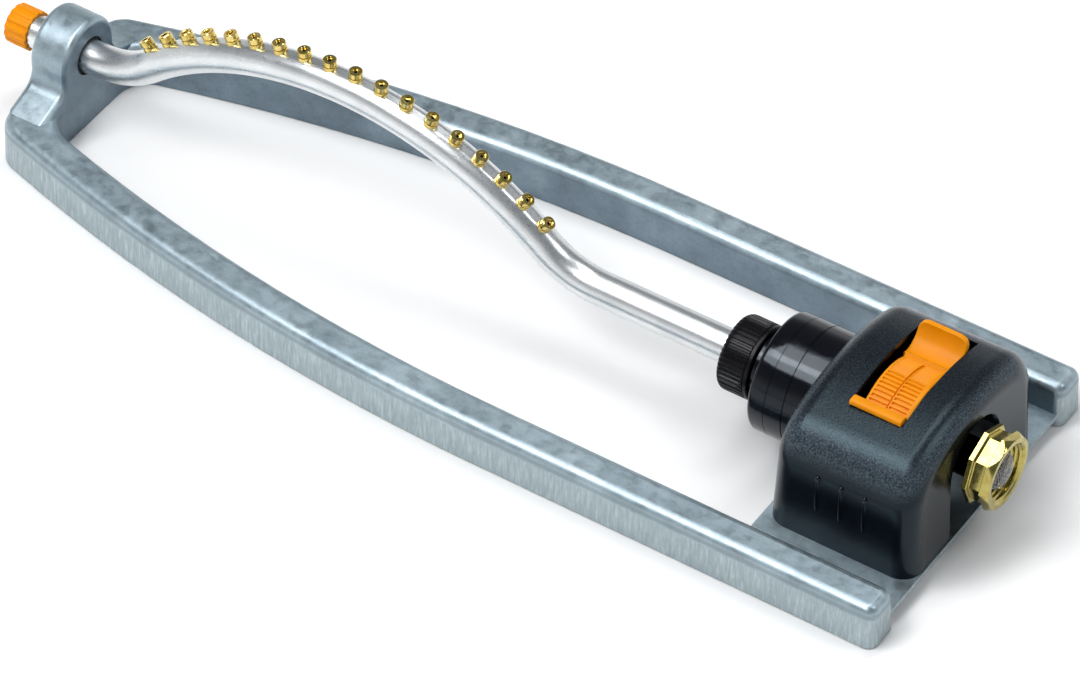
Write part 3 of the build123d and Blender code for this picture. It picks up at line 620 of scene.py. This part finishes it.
def cover_plastic():
    """Grained on the crown, with pale flecks painted on its shoulders as sheen, smoother and darker on the walls."""
    material, tree, shader = finish("cover_plastic", (0.004, 0.005, 0.007), roughness=0.25, specular=0.3)
    shader.inputs["Specular Tint"].default_value = (0.6, 0.86, 1.0, 1.0)
    face = facing(tree)
    crown = reach(tree, face["Z"], 0.15, 0.5, 0.0, 1.0)
    around = places(tree)
    spark = grain(tree, around, 0.8, 2, 0.5)
    wear = grain(tree, around, 14, 3)
    # Pale flecks, full on the shoulders and faint on the top, are a painted sheen; the grain's pattern is real.
    shoulder_sheen = ramp(tree, face["Z"], (0.2, 0.0), (0.5, 1.0), (0.72, 1.0), (0.95, 0.2))
    sheen_flecks = ramp(tree, spark, (0.34, (0.012, 0.016, 0.02)), (0.68, (0.066, 0.085, 0.104)))
    plain = ramp(tree, wear, (0.3, (0.0015, 0.002, 0.0035)), (0.7, (0.003, 0.0035, 0.006)))
    tree.links.new(blend(tree, shoulder_sheen, plain, sheen_flecks), shader.inputs["Base Color"])
    rough = sums(tree, "ADD", reach(tree, spark, 0.3, 0.7, 0.17, 0.22), sums(tree, "MULTIPLY", crown, 0.06))
    tree.links.new(rough, shader.inputs["Roughness"])
    eroded = sums(tree, "MULTIPLY", spark, reach(tree, crown, 0.0, 1.0, 0.08, 1.0))
    bumps(tree, shader, eroded, 0.11)
    return material


def wall_y(z):
    return -cover_side + (z - cover_foot) * cover_draft


def make_pips():
    sides = 20
    points = []
    faces = []
    dome = [(pip_radius, -0.2), (pip_radius, 0.1), (1.3, 0.6), (0.9, 1.0), (0.45, 1.2), (0.05, 1.25)]
    rib = [(-1, -0.2), (-0.9, 0.05), (-0.5, 0.2), (0.5, 0.2), (0.9, 0.05), (1, -0.2)]
    rows = 15
    for k in (-1, 0, 1):
        x = (cover_back + cover_front) / 2 + k * pip_pitch
        base = len(points)
        for r, rise in dome:
            for j in range(sides):
                angle = 2 * math.pi * j / sides
                z = pip_height + r * math.sin(angle)
                points.append((x + r * math.cos(angle), wall_y(z) - rise, z))
        faces += rings_to_faces(len(dome), sides, closed=True, base=base)
        base = len(points)
        for i in range(rows):
            z = rib_low + (pip_height - pip_radius - rib_low) * i / (rows - 1)
            half = rib_half * math.sin(math.pi * (0.06 + 0.88 * i / (rows - 1))) ** 0.35
            for across, rise in rib:
                points.append((x + half * across, wall_y(z) - rise, z))
        faces += rings_to_faces(rows, len(rib), base=base) + end_faces(rows, len(rib), base)
    return piece("cover_pips", points, faces, "base", (), 40)


dress("motor_cover", cover_plastic())
pips = make_pips()
pips.data.materials.append(gloss)

# Control lever
# Orange moulded lever in the cover's slot: a saddle round the casing, a rounded lip at the near end and a hollow
# thumb tab at the far end. Coarse and then fine grip ridges cross the saddle, split by a groove, up to a raised bar.

lever_left, lever_right = (corner.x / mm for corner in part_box("control_lever"))
lip_extra = 3.5
tab_extra = 2.3
saddle_width = lever_right - lever_left - lip_extra
saddle_inner = 24.4
crown_centre = Vector((-4.5, 1.4))
crown_radius = 31.0
crown_start = -20.7
tab_foot_y = 14.5
tab_top = Vector((27.5, 35.2))
tab_hollow = 4.0
tab_thickness = 2.4
tab_corner = 4.0
coarse_pitch = 2.3
fine_pitch = 1.15
ridge_start = 1.4
coarse_end = 19.5
coarse_depth = 0.95
fine_depth = 0.42
middle_groove = 0.8
bar_width = 3.6
bar_height = 1.9
bar_margin = 1.0


def arc_through(a, middle, b, count):
    """Points from a to b on the circle through three points."""
    flat = [Vector((p.x, p.y)) for p in (a, middle, b)]
    (ax, ay), (bx, by), (cx, cy) = flat
    d = 2 * (ax * (by - cy) + bx * (cy - ay) + cx * (ay - by))
    sa, sb, sc = (p.length_squared for p in flat)
    centre = Vector(((sa * (by - cy) + sb * (cy - ay) + sc * (ay - by)) / d,
                     (sa * (cx - bx) + sb * (ax - cx) + sc * (bx - ax)) / d))
    first = a - centre
    last = b - centre
    swing = math.atan2(first.x * last.y - first.y * last.x, first.dot(last))
    return [centre + Matrix.Rotation(swing * k / (count - 1), 2) @ first for k in range(count)]


def lever_path():
    """Stations along the lever as (top, underside, out of the top, left edge, edge set-in, ridge height)."""
    stations = []
    lip = [(-25.2, 27.6), (-25.3, 29.5), (-27.0, 29.5), (-27.4, 29.9), (-27.5, 31.2), (-27.2, 31.9), (-26.6, 32.3),
           (-25.4, 32.4), (-23.8, 32.2), (-22.8, 31.8), (-22.1, 31.0), (-21.6, 29.8), (-21.1, 28.4)]
    for i, (y, h) in enumerate(lip):
        t = i / (len(lip) - 1)
        under = Vector((-24.9 + 4.6 * t, 27.2 - 5.9 * t))
        rounding = 0.9 * max(0.0, abs(t - 0.5) * 2 - 0.3) ** 2
        stations.append((Vector((y, h)), under, Vector((0, 1)), lever_left, rounding, 0.0))

    turn_start = math.asin((crown_start - crown_centre.x) / crown_radius)
    turn_end = math.asin((tab_foot_y - crown_centre.x) / crown_radius)
    length = crown_radius * (turn_end - turn_start)
    count = 190
    for i in range(count):
        s = length * i / (count - 1)
        turn = turn_start + s / crown_radius
        out = Vector((math.sin(turn), math.cos(turn)))
        round_casing = math.radians(138 - 96 * i / (count - 1))
        under = Vector((math.cos(round_casing), math.sin(round_casing))) * saddle_inner
        left = lever_left + lip_extra
        step = 0.0
        if ridge_start < s < coarse_end:
            wave = math.sin(2 * math.pi * (s - ridge_start) / coarse_pitch)
            step = -coarse_depth * min(1.0, max(0.0, 0.2 + 1.4 * wave))
        elif coarse_end <= s < length - bar_width - bar_margin:
            step = -fine_depth * (0.5 - 0.5 * math.cos(2 * math.pi * (s - coarse_end) / fine_pitch))
        elif s > length - bar_width:
            fall = max(0.0, min(1.0, (s - length + 1.2) / 0.4))
            step = bar_height * min(1.0, (s - length + bar_width) / 0.4) - 1.2 * fall
        stations.append((crown_centre + out * crown_radius, under, out, left, 0.0, step))

    foot = stations[-1][0]
    slope = (tab_top - foot).normalized()
    middle = (foot + tab_top) / 2 + Vector((slope.y, -slope.x)) * tab_hollow
    near = arc_through(foot, middle, tab_top, 24)
    for i, top in enumerate(near[1:], 1):
        ahead = near[min(i + 1, len(near) - 1)] - near[i - 1]
        out = Vector((-ahead.y, ahead.x)).normalized()
        left_over = (tab_top - top).length
        inset = tab_corner - math.sqrt(max(0.0, tab_corner**2 - max(0.0, tab_corner - left_over) ** 2))
        under = top - out * tab_thickness * (1.0 if i > 6 else 1.0 + (6 - i) * 0.5)
        lift = 0.7 * max(0.0, 1 - i / 4)
        stations.append((top, under, out, lever_left + lip_extra - tab_extra, inset, lift))
    return stations


def make_lever():
    """Points across each station, with the grip ridges between plain edges and a groove along the middle."""
    offsets = [0, 0.1, 0.35, 1.3, 1.5, 3.5, 6, 8, 9.7, 9.9, 10.1,
               10.9, 11.1, 11.3, 13, 15, 17, 19.2, 19.4, 21.0, 21.3, 21.5]
    ridged = [0, 0, 0, 0, 1, 1, 1, 1, 1, 0, -1, -1, 0, 1, 1, 1, 1, 1, 0, 0, 0, 0]
    edge = [0.4, 0.15] + [0] * 18 + [0.15, 0.4]
    points = []
    path = lever_path()
    for top, under, out, left, inset, step in path:
        start = left + inset
        width = lever_right - inset - start
        for offset, ridge, drop in zip(offsets, ridged, edge):
            rise = step if step > 0 else step * max(0, ridge)
            if ridge < 0 and left > lever_left + lip_extra - 0.1 and step <= 0:
                rise = -middle_groove
            spot = top + out * (rise - drop)
            points.append((start + offset * width / saddle_width, spot.x, axis_z + spot.y))
        points.append((start + width, under.x, axis_z + under.y))
        points.append((start, under.x, axis_z + under.y))
    sides = len(offsets) + 2
    faces = rings_to_faces(len(path), sides) + end_faces(len(path), sides)
    return piece("grip_lever", points, faces, "range_control", ["control_lever"], 38)


lever = make_lever()
lever.data.materials.append(orange)

# Hose inlet
# Brass tail screwed into the casing, and the eight-sided hose nut that turns on its flange, with a coarse hose thread.
# A rubber washer lies inside, and on it the domed strainer of woven wire in a pressed rim.

swivel_back, swivel_front = (corner.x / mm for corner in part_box("swivel_coupling"))
swivel_corner = 18.0
waist_corner = 15.9
front_flange = 4.4
back_flange = 2.5
bevel_length = 2.8
bevel_drop = 1.4
mouth_radius = 14.3
thread_radius = 13.0
thread_depth = 0.45
thread_pitch = 2.21
relief_radius = 13.4
back_wall = 1.6
tail_hole = 9.06
strainer_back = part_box("strainer_screen")[0].x / mm
strainer_rim = 12.7
rim_thickness = 0.5
dome_edge = 9.0
dome_height = 6.45
dome_fullness = 2.8
wire_pitch = 1.2
wire_radius = 0.16
wire_sides = 5


def eight_sided(corner, angle):
    return corner * math.cos(math.pi / 8) / math.cos(angle % (math.pi / 4) - math.pi / 8)


def thread_tooth(x, angle):
    """The thread's form, from -1 on its crest to 1 in its root."""
    phase = (x / thread_pitch + angle / (2 * math.pi)) % 1.0
    return max(-1.0, min(1.0, 5 * abs(phase - 0.5) - 1.25))


def make_swivel():
    """Outside from back to front as (x, corner, limit), then the threaded inside from front to back."""
    sides = 160
    flange = swivel_front - front_flange
    waist = swivel_back + back_flange
    free = 2 * swivel_corner
    outside = [
        (swivel_back, swivel_corner - 0.4, free), (swivel_back + 0.3, swivel_corner, free),
        (waist - 0.3, swivel_corner, free), (waist, swivel_corner - 0.4, free),
        (waist + 0.05, waist_corner + 0.4, free), (waist + 0.5, waist_corner, free),
        (flange - 0.5, waist_corner, free), (flange - 0.05, waist_corner + 0.4, free),
        (flange, swivel_corner - 0.4, free), (flange + 0.3, swivel_corner, free),
    ]
    for k in range(10):
        x = swivel_front - bevel_length * (1 - k / 9)
        outside.append((x, swivel_corner, swivel_corner - bevel_drop * k / 9))
    points = []
    for x, corner, limit in outside:
        points += axis_ring(x, sides, lambda angle: min(eight_sided(corner, angle), limit))
    thread_end = strainer_back + rim_thickness + 0.5
    thread_start = swivel_front - 0.9
    run = thread_start - thread_end
    inside = [(swivel_front, mouth_radius, 0), (swivel_front - 0.8, thread_radius + thread_depth, 0)]
    inside += [(thread_start - run * k / 36, thread_radius, 1) for k in range(37)]
    inside += [(thread_end - 0.1, relief_radius, 0), (swivel_back + back_wall, relief_radius, 0),
               (swivel_back + back_wall, tail_hole, 0), (swivel_back, tail_hole, 0)]
    for x, radius, cut in inside:
        points += axis_ring(x, sides, lambda angle: radius + cut * thread_depth * thread_tooth(x, angle))
    faces = rings_to_faces(len(outside) + len(inside), sides, closed=True)
    return piece("hose_nut", points, faces, "hose_swivel", ["swivel_coupling"], 17)


def dome_x(y, h):
    """How far forward the strainer's dome stands, at a place across it."""
    share = min(1.0, math.hypot(y, h) / dome_edge)
    return strainer_back + rim_thickness + dome_height * (1 - share**dome_fullness) ** (1 / dome_fullness)


def make_strainer():
    """A pressed rim and two sets of wires that pass over and under each other."""
    sides = 96
    front = strainer_back + rim_thickness
    rim = [(strainer_back, dome_edge - 0.4), (strainer_back, strainer_rim), (front - 0.15, strainer_rim),
           (front, strainer_rim - 0.2), (front, dome_edge + 0.6), (front + 0.25, dome_edge + 0.2),
           (front + 0.2, dome_edge - 0.3), (front - 0.1, dome_edge - 0.4)]
    points = []
    for x, r in rim:
        points += axis_ring(x, sides, lambda angle: r)
    faces = rings_to_faces(len(rim), sides, closed=True)
    count = int(dome_edge / wire_pitch)
    for family in (0, 1):
        for k in range(-count, count + 1):
            side = k * wire_pitch
            half = math.sqrt(dome_edge**2 - side * side)
            steps = max(6, int(8 * half / wire_pitch))
            base = len(points)
            for i in range(steps + 1):
                along = half * math.sin(math.pi * (i / steps - 0.5))
                weave = math.cos(math.pi * (along / wire_pitch + k + family)) * wire_radius * 0.8
                y, h = (side, along) if family else (along, side)
                for q in range(wire_sides):
                    angle = 2 * math.pi * q / wire_sides
                    shift = wire_radius * math.sin(angle)
                    y_q, h_q = (y + shift, h) if family else (y, h + shift)
                    x = dome_x(y, h) - wire_radius + weave + wire_radius * math.cos(angle)
                    points.append((x, y_q, axis_z + h_q))
            faces += rings_to_faces(steps + 1, wire_sides, base=base) + end_faces(steps + 1, wire_sides, base)
    return piece("woven_strainer", points, faces, "base", ["strainer_screen"], 50)


def wire_steel():
    """Dull drawn wire, darker where it is wet."""
    material, tree, shader = finish("wire_steel", (0.6, 0.6, 0.61), metallic=1.0, roughness=0.3)
    tarnish = grain(tree, places(tree), 2.5, 3)
    tree.links.new(ramp(tree, tarnish, (0.3, 0.34), (0.7, 0.6)), shader.inputs["Base Color"])
    return material


brass = turned_brass("nut_brass", (0.36, 0.29, 0.07), (0.48, 0.4, 0.12), (0.56, 0.48, 0.17))
swivel = make_swivel()
swivel.data.materials.append(brass)
strainer = make_strainer()
strainer.data.materials.append(wire_steel())
# The tail is given tones near black, far darker than the nut's brass.
dress("inlet_fitting", turned_brass("tail_brass", (0.04, 0.033, 0.01), (0.07, 0.058, 0.018), (0.11, 0.09, 0.03)))
dress("hose_washer", rubber)

# Screws under the drive plate
# Pan-head steel screws with a cross recess, driven up from below: four hold the cover, and two hold the casing. They
# show only when the sprinkler is turned over.

screw_head = 3.2
screw_shank = 1.6
head_height = 1.8
cross_arm = 0.42
cross_reach = 1.6
cross_depth = 1.0
casing_screws = [(185.8, 0.0), (209.7, 0.0)]
cover_screws = [(x, y) for x in (178.8, 237.7) for y in (-45.7, 45.7)]


def make_screws(name, node, spots):
    sides = 32
    low, high = (corner.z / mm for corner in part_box(node))
    star = []
    arm = [Vector((cross_arm, -cross_arm)), Vector((cross_reach, -cross_arm)), Vector((cross_reach, cross_arm))]
    for q in range(4):
        star += [Matrix.Rotation(q * math.pi / 2, 2) @ p for p in arm]
    circle = [Vector((math.cos(2 * math.pi * j / sides), math.sin(2 * math.pi * j / sides))) for j in range(sides)]
    outline = [(screw_head - 0.6, low), (screw_head - 0.2, low + 0.2), (screw_head, low + 0.7),
               (screw_head, low + head_height), (screw_shank, low + head_height), (screw_shank, high - 1.0),
               (0.3, high)]
    points = []
    faces = []
    for x, y in spots:
        base = len(points)
        for r, z in outline:
            points += [(x + r * p.x, y + r * p.y, z) for p in circle]
        faces += rings_to_faces(len(outline), sides, base=base) + end_faces(len(outline), sides, base)[1:]
        rim = len(points)
        points += [(x + p.x, y + p.y, low) for p in star]
        points += [(x + 0.8 * p.x, y + 0.8 * p.y, low + cross_depth) for p in star]
        faces += rings_to_faces(2, len(star), base=rim) + end_faces(2, len(star), rim)[1:]
        loops = [[Vector((outline[0][0] * p.x, outline[0][0] * p.y, 0)) for p in circle], [p.to_3d() for p in star]]
        number = [base + j for j in range(sides)] + [rim + j for j in range(len(star))]
        faces += [tuple(number[v] for v in f) for f in tessellate_polygon(loops)]
    return piece(name, points, faces, "base", [node], 30)


for name, node, spots in (("cover_screw_set", "cover_screws", cover_screws),
                          ("casing_screw_set", "casing_screws", casing_screws)):
    make_screws(name, node, spots).data.materials.append(steel)

# Studio
# A pale floor in a plain grey-white room, a long strip lamp over the object and two soft lamps, with the camera where
# the photograph was taken from.


def plain_room():
    """Pale at the horizon and darker overhead, so that bright metal has something to show."""
    world = bpy.data.worlds.new("plain_room")
    bpy.context.scene.world = world
    world.use_nodes = True
    tree = world.node_tree
    tree.nodes.clear()
    up = add(tree, "SeparateXYZ", {0: add(tree, "TexCoord").outputs["Generated"]}).outputs["Z"]
    tone = ramp(tree, up, (0.0, 0.92), (0.18, 0.8), (0.34, (0.3, 0.315, 0.33)),
                (0.5, (0.19, 0.205, 0.22)), (1.0, (0.15, 0.165, 0.18)))
    room = add(tree, "Background", {"Color": tone, "Strength": 1.0})
    tree.links.new(room.outputs[0], add(tree, "OutputWorld").inputs["Surface"])


def pale_floor():
    mesh = bpy.data.meshes.new("floor")
    size = 6.0
    mesh.from_pydata([(-size, -size, 0), (size, -size, 0), (size, size, 0), (-size, size, 0)], [], [(0, 1, 2, 3)])
    floor = bpy.data.objects.new("floor", mesh)
    bpy.context.scene.collection.objects.link(floor)
    floor.location.z = -0.0005
    floor.data.materials.append(finish("pale_floor", (0.93, 0.93, 0.93), roughness=0.9, specular=0.1)[0])


def soft_lamp(name, place, aim, size, power):
    light = bpy.data.lights.new(name, "AREA")
    light.shape = "RECTANGLE"
    light.size, light.size_y = size
    light.energy = power
    lamp = bpy.data.objects.new(name, light)
    bpy.context.scene.collection.objects.link(lamp)
    lamp.location = place
    lamp.rotation_euler = (Vector(aim) - Vector(place)).to_track_quat("-Z", "Y").to_euler()


plain_room()
pale_floor()
soft_lamp("key_lamp", (-0.5, -0.95, 1.75), (0, 0, 0.03), (1.2, 0.8), 21)
soft_lamp("strip_lamp", (-0.35, 0.1, 1.95), (-0.1, 0, 0.03), (2.2, 0.5), 22)
soft_lamp("side_lamp", (1.25, 0.55, 1.7), (0.1, 0, 0.03), (0.5, 0.9), 8)

view = bpy.data.cameras.new("view")
view.lens = 213.74
view.sensor_width = 36.0
view.clip_end = 20.0
camera = bpy.data.objects.new("camera", view)
bpy.context.scene.collection.objects.link(camera)
camera.location = (1.12385, -1.68811, 1.96123)
camera.rotation_euler = tuple(math.radians(a) for a in (45.603, -0.1996, 33.2728))
bpy.context.scene.camera = camera
bpy.context.scene.view_settings.view_transform = "Standard"
